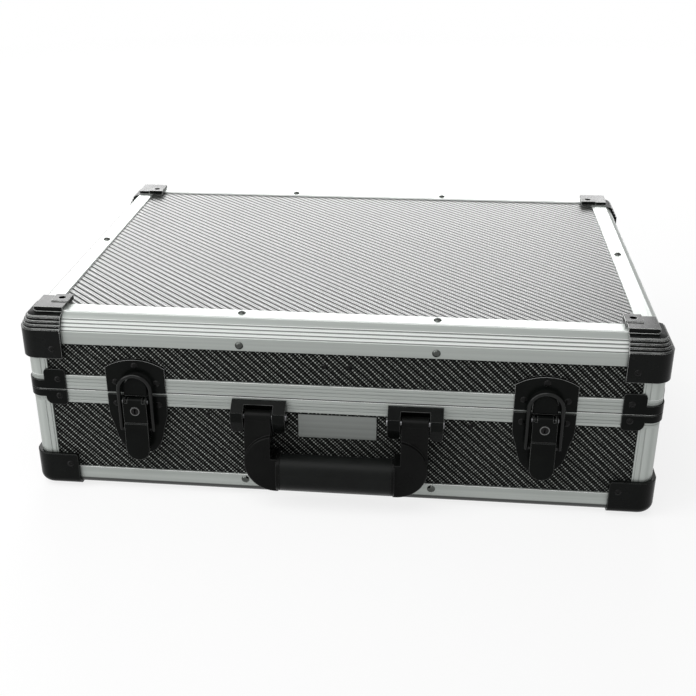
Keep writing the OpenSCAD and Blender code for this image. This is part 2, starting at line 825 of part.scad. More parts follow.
module lid_lining() {
    outer_in = inner_in + lining_gap;
    ceiling_z = top_z - inner_in - lining_gap;
    step_z = top_z - inner_in - slope_h - lining_gap;
    step_in = inner_in + slope_w + lining_gap;
    low_z = lid_closure_z + lining_gap;
    color(foam) difference() {
        union() {
            translate([outer_in - case_w / 2, front_y + outer_in, low_z])
                cube([case_w - 2 * outer_in, case_d - 2 * outer_in, step_z - low_z]);
            translate([step_in - case_w / 2, front_y + step_in, low_z])
                cube([case_w - 2 * step_in, case_d - 2 * step_in, ceiling_z - low_z]);
        }
        translate([outer_in + lining_t - case_w / 2, front_y + outer_in + lining_t, low_z - cut])
            cube([case_w - 2 * (outer_in + lining_t), case_d - 2 * (outer_in + lining_t),
                step_z - low_z + cut - lining_t]);
        translate([step_in + lining_t - case_w / 2, front_y + step_in + lining_t, low_z - cut])
            cube([case_w - 2 * (step_in + lining_t), case_d - 2 * (step_in + lining_t),
                ceiling_z - low_z + cut - lining_t]);
    }
}

// Latches: heights from the parting line, outsets from the front face

module at_latch(side) {
    translate([side * latch_x, front_y, parting_z]) children();
}

keeper_low = seam_gap / 2;
keeper_rivets = [[0, keeper_h - 4.7], [-15.4, 8.5], [15.4, 8.5]];
plate_rivets = [[-15.8, -9.3], [15.8, -9.3], [0, -45]];

module keeper_outline() {
    intersection() {
        translate([-latch_w / 2, keeper_low]) square([latch_w, keeper_h - keeper_low]);
        translate([0, keeper_h - keeper_r]) circle(r = keeper_r);
    }
}

// Half of the catch's section, from its middle outwards
module catch_section() {
    square([catch_w / 2 - catch_round, catch_out]);
    square([catch_w / 2, catch_out - catch_round]);
    translate([catch_w / 2 - catch_round, catch_out - catch_round]) circle(r = catch_round);
}

// Catch: raised arch with a round outer edge, its lower end hanging over the parting line
module catch() {
    arch_z = catch_h - catch_w / 2;
    difference() {
        union() {
            translate([0, 0, arch_z]) rotate([90, 0, 0]) rotate_extrude(angle = 180) catch_section();
            translate([0, 0, -catch_drop]) linear_extrude(arch_z + catch_drop)
                for (s = [0, 1]) mirror([s, 0]) mirror([0, 1]) catch_section();
        }
        translate([-catch_w, -latch_t, -2 * catch_drop])
            cube([2 * catch_w, latch_t + cut, 2 * catch_drop + keeper_low]);
    }
}

// Keeper: plate on the closure, backed down to the panel above it, with a raised catch
module keeper(side) {
    color(steel_black) at_latch(side) difference() {
        union() {
            raise(0, latch_t) keeper_outline();
            raise(-leg_t, 0) intersection() {
                keeper_outline();
                translate([-latch_w, lid_closure_z - parting_z]) square([2 * latch_w, keeper_h]);
            }
            catch();
        }
        for (p = keeper_rivets) translate([p[0], -latch_t, p[1]]) facing_out() rivet_hole(latch_t);
    }
}

// Shield outline of the latch plate: half widths at heights under the parting line
shield = [for (p = [[0, -latch_gap], [0, -13], [0.3, -18.5], [1.5, -23], [3.1, -28], [4.1, -33],
    [5.1, -37.5], [7.1, -42.5], [10.1, -46.5], [14.1, -latch_drop]]) [latch_w / 2 - p[0], p[1]]];

module shield_outline() {
    polygon(concat(shield, [for (k = [len(shield) - 1 : -1 : 0]) [-shield[k][0], shield[k][1]]]));
}

// Side view of a pivot ear: round head on a stem that slants down to the plate
module ear_side() {
    translate([-lever_out, -lever_drop]) circle(r = ear_r);
    intersection() {
        translate([-lever_out, -lever_drop]) rotate(-135) translate([-ear_r, 0])
            square([2 * ear_r, 2 * lever_out]);
        translate([-2 * lever_out, -latch_drop]) square([2 * lever_out, latch_drop]);
    }
}

// Latch plate: backed down to the panel, with two ears for the lever and a hook for the lock
module latch_plate(side) {
    ear_in = lever_core_w / 2 + ear_gap;
    hook_out = cam_out + cam_t + 0.3;
    color(steel_black) at_latch(side) difference() {
        union() {
            raise(0, latch_t) shield_outline();
            raise(-leg_t, 0) intersection() {
                shield_outline();
                translate([-latch_w, -2 * latch_drop])
                    square([2 * latch_w, 2 * latch_drop + base_closure_z - parting_z]);
            }
            for (s = [-1, 1]) translate([s > 0 ? ear_in : -ear_in - ear_t, 0, 0])
                run(0, ear_t) ear_side();
            translate([cam_l + 0.3, 0, -lock_drop]) run(0, 1.4)
                translate([-hook_out - 1.2, -2]) square([hook_out + 1.2, 4]);
            translate([lock_r + 0.4, 0, -lock_drop]) run(0, cam_l - lock_r)
                translate([-hook_out - 1.2, -2]) square([1.2, 4]);
        }
        translate([-latch_w / 2, -lever_out, -lever_drop]) rotate([0, 90, 0])
            cylinder(r = lever_pin_r, h = latch_w);
        for (p = plate_rivets) translate([p[0], -latch_t, p[1]]) facing_out() rivet_hole(latch_t);
    }
}

module lever_pins() {
    half = lever_w / 2 + ear_gap;
    color(bright) for (side = [-1, 1]) at_latch(side) translate([0, -lever_out, -lever_drop]) {
        rotate([0, 90, 0]) cylinder(r = lever_pin_r, h = 2 * half, center = true);
        for (s = [-1, 1]) translate([s * half, 0, 0]) rotate([0, s * 90, 0])
            cylinder(r = lever_pin_r + 0.5, h = 0.4);
    }
}

// Side view of the lever as inset and height
module lever_side() {
    face = lever_out + lever_roll_r;
    union() {
        translate([-lever_out, -lever_drop]) circle(r = lever_roll_r);
        polygon([[-face, -lever_drop], [-face, -thumb_drop + 0.5], [-face + 0.5, -thumb_drop],
            [-face - 0.4, -thumb_drop - 0.6], [-face - 0.7, -thumb_drop - 8],
            [-tip_out + 0.4, -thumb_drop - 18], [-tip_out, -lever_tip],
            [-tip_out + lever_wall, -lever_tip], [-tip_out + 3.5, -lever_tip + 8],
            [-4, -thumb_drop - 14], [-latch_t - 0.9, -thumb_drop - 9],
            [-latch_t - 0.9, -lever_drop - 3 * lever_roll_r], [ear_r - lever_out, -lever_drop],
            [-lever_out, -lever_drop]]);
    }
}

// Front view of the lever: parallel sides and a round thumb tip
module lever_front() {
    r = lever_w / 2;
    translate([0, r - lever_tip]) circle(r = r);
    translate([-r, r - lever_tip]) square([lever_w, lever_tip - r]);
}

// Front view of the room inside the lever
module lever_room() {
    r = lever_w / 2 - lever_wall;
    translate([0, r + lever_wall - lever_tip]) circle(r = r);
    translate([-r, r + lever_wall - lever_tip]) square([2 * r, lever_tip - lever_wall - r - lever_drop]);
}

// Lever: channel with an open back, a rolled end and slots for the ears on each side of it
module latch_lever(side) {
    face = lever_out + lever_roll_r;
    slot_in = lever_core_w / 2;
    color(steel_black) at_latch(side) difference() {
        union() {
            difference() {
                intersection() {
                    run(-lever_w, lever_w) lever_side();
                    raise(-lever_w, 2 * lever_w) lever_front();
                }
                raise(-cut, face - lever_wall) lever_room();
                raise(face - lever_wall - cut, tip_out - lever_wall - 0.4) intersection() {
                    lever_room();
                    translate([-lever_w, -lever_tip]) square([2 * lever_w, lever_tip - thumb_drop - 9]);
                }
            }
            run(-slot_in, slot_in) translate([-lever_out, -lever_drop]) circle(r = lever_roll_r);
        }
        for (s = [0, 1]) mirror([s, 0, 0]) run(slot_in, lever_w / 2 - lever_wall) {
            translate([-2 * face, -lever_drop]) square([2 * face, 2 * lever_roll_r]);
            translate([-lever_out, -lever_drop]) circle(r = ear_r + ear_gap);
        }
        translate([-lever_w, -lever_out, -lever_drop]) rotate([0, 90, 0])
            cylinder(r = lever_pin_r + pivot_play, h = 2 * lever_w);
        translate([-lever_w, -bail_out, -bail_drop]) rotate([0, 90, 0])
            cylinder(r = bail_pivot_r + pivot_play, h = 2 * lever_w);
        translate([0, 0, -lock_drop]) facing_out() cylinder(r = lock_r + pivot_play, h = 2 * face);
    }
}

// Bail: round wire bent to an arch, with its ends turned in as pivots
module latch_bail(side) {
    r = wire_d / 2;
    half = bail_w / 2 - r;
    arch_z = bail_top - r - half;
    color(steel_black) at_latch(side) translate([0, -bail_out, 0]) {
        translate([0, 0, arch_z]) rotate([90, 0, 0]) rotate_extrude(angle = 180)
            translate([half, 0]) circle(r = r);
        for (s = [-1, 1]) {
            translate([s * half, 0, -bail_drop]) cylinder(r = r, h = arch_z + bail_drop);
            translate([s * half, 0, -bail_drop]) sphere(r = r);
            translate([s * half, 0, -bail_drop]) rotate([0, -s * 90, 0])
                cylinder(r = bail_pivot_r, h = half - lever_w / 2 + lever_wall + 0.8);
        }
    }
}

// Lock plug: barrel with a key slot, and a cam behind it that hangs down when unlocked
module lock_plug(side) {
    color(bright) at_latch(side) translate([0, 0, -lock_drop]) {
        difference() {
            raise(cam_out + cam_t, lock_out) circle(r = lock_r);
            raise(lock_out - 2, lock_out + cut) square([0.9, 4], center = true);
            raise(lock_out - 0.8, lock_out + cut) translate([0, 1.2]) circle(r = 0.9);
        }
        raise(cam_out, cam_out + cam_t) {
            circle(r = cam_w / 2);
            intersection() {
                translate([-cam_w / 2, -cam_l]) square([cam_w, cam_l]);
                circle(r = cam_l);
            }
        }
    }
}

// Handle

module at_handle() {
    translate([0, front_y, parting_z]) children();
}

// Side view of the bracket as inset and height
module bracket_side() {
    polygon([[0, -bracket_top], [-1.6, -bracket_top], [0.6 - bracket_out, -bracket_top - bracket_slope],
        [-bracket_out, -bracket_top - bracket_slope - 1.9], [-bracket_out, -handle_drop - 2.5],
        [0.6 - bracket_out, -handle_drop - 4], [-handle_out - knuckle_r + 3, -bracket_low],
        [leg_t, -bracket_low], [leg_t, base_closure_z - parting_z],
        [0, base_closure_z - parting_z]]);
}

// Front view of the bracket: two ears with round lower corners
module bracket_front(ear_w) {
    foot_z = bracket_foot_r - bracket_low;
    translate([-bracket_w / 2, foot_z]) square([bracket_w, -foot_z]);
    for (s = [-1, 1]) translate([s * (bracket_w - ear_w) / 2, foot_z]) {
        square([ear_w - 2 * bracket_foot_r, 2 * bracket_foot_r], center = true);
        for (t = [-1, 1]) translate([t * (ear_w / 2 - bracket_foot_r), 0]) circle(r = bracket_foot_r);
    }
}

module handle_bracket(side) {
    slot_w = arm_w + 2 * arm_gap;
    slot_r = knuckle_r + 0.4;
    color(black) at_handle() translate([side * bracket_x, 0, 0]) difference() {
        intersection() {
            run(-bracket_w / 2, bracket_w / 2) bracket_side();
            union() {
                raise(-2 * leg_t, bracket_skin)
                    translate([-bracket_w / 2, -2 * bracket_low]) square([bracket_w, 2 * bracket_low]);
                raise(0, 2 * bracket_out) bracket_front((bracket_w - slot_w) / 2);
            }
        }
        run(-slot_w / 2, slot_w / 2) {
            translate([-2 * bracket_out, -2 * bracket_low]) square(
                [2 * bracket_out - bracket_skin, 2 * bracket_low - bracket_top - bracket_bar]);
            translate([-handle_out, -handle_drop]) circle(r = slot_r);
        }
        translate([-bracket_w, -handle_out, -handle_drop]) rotate([0, 90, 0])
            cylinder(r = handle_pin_r, h = 2 * bracket_w);
    }
}

module handle_pins() {
    color(steel_black) at_handle() for (side = [-1, 1])
        translate([side * bracket_x, -handle_out, -handle_drop]) {
            rotate([0, 90, 0]) cylinder(r = handle_pin_r, h = bracket_w, center = true);
            for (s = [-1, 1]) translate([s * bracket_w / 2, 0, 0]) rotate([0, s * 90, 0])
                cylinder(r = handle_pin_r + 0.8, h = 0.7);
        }
}

// Upright stadium as inset and height round the grip's middle
module stadium(h, d) {
    translate([-grip_out, -grip_drop]) {
        square([d, h - d], center = true);
        for (s = [-1, 1]) translate([0, s * (h - d) / 2]) circle(r = d / 2);
    }
}

// Round corner of the handle: a disc with a rounded front edge
module handle_corner() {
    depth = shoulder_out - handle_gap;
    flat_r = handle_corner_r - shoulder_round;
    translate([0, -handle_gap, 0]) rotate([90, 0, 0]) rotate_extrude() {
        square([flat_r, depth]);
        square([handle_corner_r, depth - shoulder_round]);
        translate([flat_r, depth - shoulder_round]) circle(r = shoulder_round);
    }
}

// One half of the handle: arm with its knuckle, round corner and collar
module handle_half() {
    arm_in = bracket_x - arm_w / 2;
    corner_x = bracket_x + arm_w / 2 + 0.4 - handle_corner_r;
    corner_z = -grip_drop - grip_h / 2 + handle_corner_r;
    corner_in = grip_l / 2 + collar_t - cut;
    arm_back = handle_out - arm_t / 2;
    translate([arm_in, 0, 0]) run(0, arm_w) {
        translate([-handle_out, -handle_drop]) circle(r = knuckle_r);
        polygon([[-arm_back, -handle_drop], [-arm_back, corner_z], [-arm_out, corner_z],
            [-arm_out, -handle_drop - arm_taper], [-handle_out - 0.9 * knuckle_r, -handle_drop]]);
    }
    difference() {
        translate([corner_x, 0, corner_z]) handle_corner();
        translate([corner_in - 2 * handle_corner_r, -2 * shoulder_out, corner_z - 2 * handle_corner_r])
            cube([2 * handle_corner_r, 3 * shoulder_out, 4 * handle_corner_r]);
        translate([0, -2 * shoulder_out, grip_h / 2 - grip_drop])
            cube([arm_in, 3 * shoulder_out, 2 * handle_corner_r]);
    }
    run(grip_l / 2, grip_l / 2 + collar_t) stadium(grip_h + 2 * collar_rise, grip_d + 2 * collar_rise);
}

module handle_frame() {
    color(black) at_handle() {
        difference() {
            for (side = [0, 1]) mirror([side, 0, 0]) handle_half();
            translate([-case_w, -handle_out, -handle_drop]) rotate([0, 90, 0])
                cylinder(r = handle_pin_r + pivot_play, h = 2 * case_w);
        }
        run(-grip_l / 2 - cut, grip_l / 2 + cut) stadium(core_h, core_d);
    }
}

module handle_grip() {
    color(steel_black) at_handle() run(-grip_l / 2, grip_l / 2) difference() {
        stadium(grip_h, grip_d);
        stadium(core_h, core_d);
    }
}

// Bare plate between the handle brackets
module name_plate() {
    color(bright) translate([-name_w / 2, front_y + leg_t - name_t, parting_z - name_drop - name_h / 2])
        cube([name_w, name_t, name_h]);
}

// Black rivets that hold the keepers, latch plates and hinges, and those of the front panels

lid_panel_rivets = [[-9, 26.8], [9, 26.8]];
panel_rivet_x = 0.4 * (latch_x - latch_w / 2) + 0.6 * (bracket_x + bracket_w / 2);
base_panel_rivets = [[-panel_rivet_x, -16.6], [panel_rivet_x, -16.6]];
leaf_rivets = [[leaf_rivet_in - hinge_w / 2, leaf_rivet_z], [0, leaf_mid_z],
    [hinge_w / 2 - leaf_rivet_in, leaf_rivet_z]];

module lid_black_rivets() {
    color(steel_black) {
        for (side = [-1, 1]) at_latch(side) for (p = keeper_rivets)
            translate([p[0], -latch_t, p[1]]) facing_out() stud(screw_d, screw_h, latch_t);
        at_handle() for (p = lid_panel_rivets)
            translate([p[0], leg_t, p[1]]) facing_out() stud(small_rivet_d, screw_h, panel_t);
        on_rear() for (side = [-1, 1]) translate([side * hinge_x, front_y, parting_z])
            for (p = leaf_rivets) translate([p[0], -leaf_t, p[1]])
                facing_out() stud(screw_d, screw_h, leaf_t);
    }
}

module base_black_rivets() {
    color(steel_black) {
        for (side = [-1, 1]) at_latch(side) for (p = plate_rivets)
            translate([p[0], -latch_t, p[1]]) facing_out() stud(screw_d, screw_h, latch_t);
        at_handle() for (p = base_panel_rivets)
            translate([p[0], leg_t, p[1]]) facing_out() stud(small_rivet_d, screw_h, panel_t);
        on_rear() for (side = [-1, 1]) translate([side * hinge_x, front_y, parting_z])
            for (p = leaf_rivets) translate([p[0], -leaf_t, -p[1]])
                facing_out() stud(screw_d, screw_h, leaf_t);
    }
}

// Hinges: leaves on the rear closures, backed down to the panels

// One leaf, upright; knuckles run over the given stretches
module hinge_leaf(side, closure_h, knuckles, bore_r) {
    color(steel_black) translate([side * hinge_x, front_y, 0]) difference() {
        union() {
            raise(0, leaf_t) difference() {
                translate([-hinge_w / 2, seam_gap / 2]) square([hinge_w, leaf_h - seam_gap / 2]);
                for (z = [0, leaf_h]) pair(hinge_w / 2)
                    translate([0, z]) rotate([0, 0, 45]) square(leaf_bevel * sqrt(2), center = true);
            }
            raise(-leg_t, 0) translate([leaf_bevel - hinge_w / 2, closure_h + seam_gap / 2])
                square([hinge_w - 2 * leaf_bevel, leaf_h - closure_h - seam_gap / 2]);
            for (k = knuckles) run(k[0], k[1]) {
                translate([-hinge_out, 0]) circle(r = hinge_knuckle_r);
                translate([-hinge_out, seam_gap / 2]) square([hinge_out, hinge_knuckle_r - seam_gap / 2]);
            }
        }
        translate([-hinge_w, -hinge_out, 0]) rotate([0, 90, 0]) cylinder(r = bore_r, h = 2 * hinge_w);
        for (p = leaf_rivets) translate([p[0], -leaf_t, p[1]]) facing_out() rivet_hole(leaf_t);
    }
}

module hinge_upper(side) {
    half = middle_knuckle / 2;
    on_rear() translate([0, 0, parting_z])
        hinge_leaf(side, lid_closure_h, [[-half, half]], hinge_pin_r + pivot_play);
}

module hinge_lower(side) {
    half = middle_knuckle / 2 + knuckle_gap;
    on_rear() translate([0, 0, parting_z]) mirror([0, 0, 1])
        hinge_leaf(side, base_closure_h, [[-knuckles / 2, -half], [half, knuckles / 2]], hinge_pin_r);
}

module hinge_pins() {
    color(bright) on_rear() for (side = [-1, 1]) translate([side * hinge_x, front_y - hinge_out, parting_z]) {
        rotate([0, 90, 0]) cylinder(r = hinge_pin_r, h = knuckles, center = true);
        for (s = [-1, 1]) translate([s * knuckles / 2, 0, 0]) rotate([0, s * 90, 0])
            cylinder(r = hinge_pin_r + 0.7, h = 0.8);
    }
}

base_panel(0);  // base_front_panel
base_panel(2);  // base_rear_panel
base_panel(3);  // base_left_panel
base_panel(1);  // base_right_panel
base_bottom_panel();
base_bottom_edges();
corner_posts(lower_leg_z, base_closure_z);  // base_corner_posts
base_closure_frame();
base_cap(false, false);  // base_cap_front_left
base_cap(true, false);  // base_cap_front_right
base_cap(false, true);  // base_cap_rear_left
base_cap(true, true);  // base_cap_rear_right
base_closure_corners();
base_rivets();
base_screws();
base_black_rivets();
base_lining();
handle_bracket(-1);  // handle_bracket_left
handle_bracket(1);  // handle_bracket_right
handle_pins();
name_plate();
latch_plate(-1);  // latch_plate_left
latch_plate(1);  // latch_plate_right
lever_pins();
hinge_lower(-1);  // hinge_lower_left
hinge_lower(1);  // hinge_lower_right
hinge_pins();
lid_top_panel();
lid_panel(0);  // lid_front_panel
lid_panel(2);  // lid_rear_panel
lid_panel(3);  // lid_left_panel
lid_panel(1);  // lid_right_panel
lid_top_edges();
corner_posts(lid_closure_z, upper_leg_z);  // lid_corner_posts
lid_closure_frame();
lid_cap(false, false);  // lid_cap_front_left
lid_cap(true, false);  // lid_cap_front_right
lid_cap(false, true);  // lid_cap_rear_left
lid_cap(true, true);  // lid_cap_rear_right
lid_closure_corners();
lid_rivets();
lid_screws();
lid_black_rivets();
lid_lining();
keeper(-1);  // keeper_left
keeper(1);  // keeper_right
hinge_upper(-1);  // hinge_upper_left
hinge_upper(1);  // hinge_upper_right
latch_lever(-1);  // latch_lever_left
latch_lever(1);  // latch_lever_right
latch_bail(-1);  // latch_bail_left
latch_bail(1);  // latch_bail_right
lock_plug(-1);  // lock_plug_left
lock_plug(1);  // lock_plug_right
handle_frame();
handle_grip();
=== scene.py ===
import math

import bpy
import numpy as np
from mathutils import Matrix


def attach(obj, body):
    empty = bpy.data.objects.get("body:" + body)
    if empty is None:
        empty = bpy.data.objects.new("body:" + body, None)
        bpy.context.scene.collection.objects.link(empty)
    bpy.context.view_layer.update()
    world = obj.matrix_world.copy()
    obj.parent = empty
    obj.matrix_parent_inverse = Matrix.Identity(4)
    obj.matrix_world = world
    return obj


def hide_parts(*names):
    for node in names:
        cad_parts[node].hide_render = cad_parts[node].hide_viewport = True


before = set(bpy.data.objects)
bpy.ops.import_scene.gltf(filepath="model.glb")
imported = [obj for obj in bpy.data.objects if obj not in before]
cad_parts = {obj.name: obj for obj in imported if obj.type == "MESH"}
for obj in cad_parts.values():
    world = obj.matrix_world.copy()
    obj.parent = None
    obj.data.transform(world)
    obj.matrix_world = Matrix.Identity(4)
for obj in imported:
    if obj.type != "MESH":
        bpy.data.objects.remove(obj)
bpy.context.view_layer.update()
print("frame loaded")

mm = 0.001

# outline over the profiles seen from above, in millimetres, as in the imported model
case = {"width": 460.0, "depth": 322.0, "midY": 6.65}


# short calls for shader trees

class Tree:
    def __init__(self, tree):
        self.tree = tree
        self.nodes = tree.nodes

    def add(self, kind, ins=None, **settings):
        node = self.nodes.new(kind)
        for name, value in settings.items():
            setattr(node, name, value)
        for name, value in (ins or {}).items():
            self.put(node.inputs[name], value)
        return node

    def put(self, socket, value):
        # links a socket, or sets a plain value
        if isinstance(value, bpy.types.NodeSocket):
            self.tree.links.new(value, socket)
        elif value is not None:
            socket.default_value = value

    def sum(self, operation, a, b=None, c=None, clamp=False):
        node = self.add("ShaderNodeMath", operation=operation, use_clamp=clamp)
        for socket, value in zip(node.inputs, (a, b, c)):
            self.put(socket, value)
        return node.outputs[0]

    def plus(self, a, b):
        return self.sum("ADD", a, b)

    def minus(self, a, b):
        return self.sum("SUBTRACT", a, b)

    def times(self, a, b):
        return self.sum("MULTIPLY", a, b)

    def ramp(self, value, fromLow, fromHigh, toLow=0.0, toHigh=1.0, kind="SMOOTHSTEP"):
        node = self.add("ShaderNodeMapRange",
                        {"Value": value, "From Min": fromLow, "From Max": fromHigh,
                         "To Min": toLow, "To Max": toHigh}, interpolation_type=kind)
        return node.outputs["Result"]

    def mix(self, factor, a, b, kind="RGBA"):
        node = self.add("ShaderNodeMix", data_type=kind)
        sockets = [s for s in node.inputs if s.enabled]
        for socket, value in zip(sockets, (factor, a, b)):
            self.put(socket, value)
        return [s for s in node.outputs if s.enabled][0]

    def noise(self, vector, scale, detail=2.0, rough=0.5):
        node = self.add("ShaderNodeTexNoise", {"Vector": vector, "Scale": scale,
                                               "Detail": detail, "Roughness": rough})
        return node.outputs["Fac"]

    def split(self, vector):
        return self.add("ShaderNodeSeparateXYZ", {"Vector": vector}).outputs

    def join(self, x, y, z):
        return self.add("ShaderNodeCombineXYZ", {"X": x, "Y": y, "Z": z}).outputs[0]

    def scaled(self, vector, scale):
        node = self.add("ShaderNodeVectorMath", {0: vector, 1: scale}, operation="MULTIPLY")
        return node.outputs[0]

    def millimetres(self, vector):
        return self.split(self.scaled(vector, (1 / mm, 1 / mm, 1 / mm)))


def rgba(colour, shade=1.0):
    return (*(v * shade for v in colour), 1)


def newGroup(name, inputs, outputs):
    # sockets are labels with a kind: v is a vector, f a number
    group = bpy.data.node_groups.new(name, "ShaderNodeTree")
    kinds = {"v": "NodeSocketVector", "f": "NodeSocketFloat"}
    for way, sockets in (("INPUT", inputs), ("OUTPUT", outputs)):
        for label, kind in sockets.items():
            group.interface.new_socket(label, in_out=way, socket_type=kinds[kind])
    t = Tree(group)
    return group, t, t.add("NodeGroupInput").outputs, t.add("NodeGroupOutput").inputs


# the woven look of the laminate, in millimetres and degrees

weave = {"slant": 43.5, "pitch": 2.02,                  # threads
         "lightHalf": 0.40, "darkHalf": 0.50,           # half a dash, in pitches
         "twillSlant": 46.6, "twill": 4.87,             # rows of the twill
         "faint": 0.28,                                 # dashes between the strong rows
         "strongTurn": 0.9, "furrowTurn": (-0.25, -0.85),   # where on the row's wave they are
         "furrowFloor": 0.6, "furrowDash": 0.5,
         "wander": 0.10, "wanderSize": 0.06,            # how far threads stray, in twill rows
         "fleckSize": 0.5, "fleck": (0.36, 0.62), "fleckLow": 0.60,
         "full": 0.9}                                   # a dash this strong shows in full


def makeWeave():
    # two sets of threads at right angles, turned by the slant. A dash shows where two threads
    # cross: 1 less the squares of the distances from its middle across either set. The twill, a
    # cosine across its rows, makes some rows strong and sinks the rows between them in furrows
    group, t, i, o = newGroup("wovenDashes", {"Plane": "v"},
                              {"Light": "f", "Dark": "f", "Height": "f"})
    x, y, _ = t.split(i["Plane"])
    slant, twillSlant = (math.radians(weave[k]) for k in ("slant", "twillSlant"))
    c, s = math.cos(slant), math.sin(slant)
    along = t.plus(t.times(x, c), t.times(y, s))
    across = t.minus(t.times(x, s), t.times(y, c))
    wander = t.noise(i["Plane"], weave["wanderSize"])
    wander = t.times(wander, weave["wander"] * weave["twill"])
    along = t.plus(along, wander)
    turn = 2 * math.pi / weave["twill"]
    row = t.plus(t.times(t.plus(x, wander), turn * math.cos(twillSlant)),
                 t.times(y, turn * math.sin(twillSlant)))
    wave = t.sum("COSINE", row)
    strong = t.ramp(wave, -weave["strongTurn"], weave["strongTurn"], weave["faint"], 1.0)
    furrow = t.ramp(wave, *weave["furrowTurn"])

    def dash(shift, half):
        squares = []
        for value in (along, across):
            turns = t.plus(t.sum("DIVIDE", value, weave["pitch"]), shift)
            cell = t.minus(t.sum("FRACT", turns), 0.5)
            off = t.sum("ABSOLUTE", t.sum("DIVIDE", cell, half))
            squares.append(t.sum("POWER", off, 2.0))
        return t.sum("SUBTRACT", 1.0, t.plus(*squares), clamp=True)

    light = t.times(dash(0.0, weave["lightHalf"]), strong)
    deep = t.times(dash(0.5, weave["darkHalf"]), weave["furrowDash"])
    dark = t.times(furrow, t.plus(weave["furrowFloor"], deep))
    # threads catch the light unevenly
    fleck = t.noise(i["Plane"], weave["fleckSize"], 1.0)
    fleck = t.ramp(fleck, *weave["fleck"], weave["fleckLow"], 1.0)
    t.put(o["Light"], t.ramp(t.times(light, fleck), 0.0, weave["full"]))
    t.put(o["Dark"], t.ramp(dark, 0.0, weave["full"]))
    t.put(o["Height"], t.minus(light, dark))
    return group


def makePlane():
    # millimetres in the plane of the panel that is looked at, chosen by the face's own normal
    group, t, i, o = newGroup("panelPlane", {"Object": "v", "Normal": "v"}, {"Plane": "v"})
    squarely = 0.6
    x, y, z = t.millimetres(i["Object"])
    nx, _, nz = t.split(i["Normal"])
    sideways, level = (t.sum("GREATER_THAN", t.sum("ABSOLUTE", n), squarely) for n in (nx, nz))
    first = t.mix(sideways, x, y, "FLOAT")
    second = t.mix(level, z, y, "FLOAT")
    t.put(o["Plane"], t.join(first, second, 0.0))
    return group


# sizes here count features per metre

handling = {"cloud": (0.35, 0.7), "speckSize": 900.0, "speck": (0.66, 0.74), "grainSize": 2600.0}


def makeScuffs():
    # faint clouds, specks and grain: three noises, the first two cut to a range
    group, t, i, o = newGroup("handledSurface", {"Object": "v", "Size": "f"},
                              {"Cloud": "f", "Speck": "f", "Grain": "f"})
    cloud = t.noise(i["Object"], i["Size"], 4.0, 0.6)
    speck = t.noise(i["Object"], handling["speckSize"], 3.0, 0.7)
    t.put(o["Cloud"], t.ramp(cloud, *handling["cloud"]))
    t.put(o["Speck"], t.ramp(speck, *handling["speck"]))
    t.put(o["Grain"], t.noise(i["Object"], handling["grainSize"], 2.0, 0.6))
    return group


def makeDrawLines():
    # fine lines along the length of a drawn profile: noise squeezed across and stretched along,
    # and the same at an eighth of the scale for broad bands
    group, t, i, o = newGroup("drawLines", {"Object": "v", "Stretch": "v"},
                              {"Lines": "f", "Wide": "f"})
    broad = 0.12
    fine = t.scaled(i["Object"], i["Stretch"])
    t.put(o["Lines"], t.noise(fine, 1.0, 3.0, 0.65))
    t.put(o["Wide"], t.noise(t.scaled(fine, (broad, broad, broad)), 1.0))
    return group


# flat and sharp are the cosines of the turn at which wear and painted highlight start and are
# full

edgeWearAndHighlight = {"flat": 0.995, "sharp": 0.90, "patchSize": 70.0, "patch": (0.25, 0.5), "least": 0.35}


def makeEdgeWearAndHighlight():
    # a mask that is 1 on outer edges, from how far a rounded normal turns from the flat one; it
    # places worn edges and painted highlights
    group, t, i, o = newGroup("edgeWearAndHighlight", {"Round": "v", "Flat": "v", "Object": "v"},
                              {"Edge": "f"})
    dot = t.add("ShaderNodeVectorMath", {0: i["Round"], 1: i["Flat"]}, operation="DOT_PRODUCT")
    edge = t.ramp(dot.outputs["Value"], edgeWearAndHighlight["flat"], edgeWearAndHighlight["sharp"])
    patches = t.noise(i["Object"], edgeWearAndHighlight["patchSize"], 3.0)
    patches = t.ramp(patches, *edgeWearAndHighlight["patch"], edgeWearAndHighlight["least"], 1.0)
    t.put(o["Edge"], t.times(edge, patches))
    return group


groups = {"weave": makeWeave(), "plane": makePlane(), "scuffs": makeScuffs(),
          "lines": makeDrawLines(), "wearAndHighlight": makeEdgeWearAndHighlight()}


def useGroup(t, group, **values):
    return t.add("ShaderNodeGroup", values, node_tree=groups[group]).outputs


def newMaterial(name, roughness=0.4, metallic=0.0):
    material = bpy.data.materials.new(name)
    material.use_nodes = True
    t = Tree(material.node_tree)
    shader = t.nodes["Principled BSDF"]
    shader.inputs["Roughness"].default_value = roughness
    shader.inputs["Metallic"].default_value = metallic
    shader.inputs["IOR"].default_value = 1.5
    return material, t, shader.inputs, t.add("ShaderNodeTexCoord").outputs


def bump(t, height, distance, strength=1.0, normal=None):
    return t.add("ShaderNodeBump", {"Height": height, "Distance": distance,
                                    "Strength": strength, "Normal": normal}).outputs["Normal"]


def rounded(t, radius):
    return t.add("ShaderNodeBevel", {"Radius": radius}, samples=8).outputs["Normal"]


def edgeMask(t, c, rounder):
    flat = t.add("ShaderNodeNewGeometry").outputs["Normal"]
    return useGroup(t, "wearAndHighlight", Round=rounder, Flat=flat, Object=c["Object"])["Edge"]


# the top panel has a glossier laminate with more relief than the others

laminate = {"ground": (0.003, 0.0034, 0.003), "dark": (0.001, 0.001, 0.001),
            "light": (0.38, 0.405, 0.38), "rough": {"ground": 0.34, "dark": 1.0, "light": 0.17},
            "cloud": (0.01, 0.01, 0.01), "clouds": 0.12, "cloudSize": 9.0, "relief": 0.6,
            "sides": {"name": "wovenLaminate", "specular": 0.03, "depth": 0.00004},
            "top": {"name": "wovenLaminateTop", "specular": 0.5, "depth": 0.00017}}


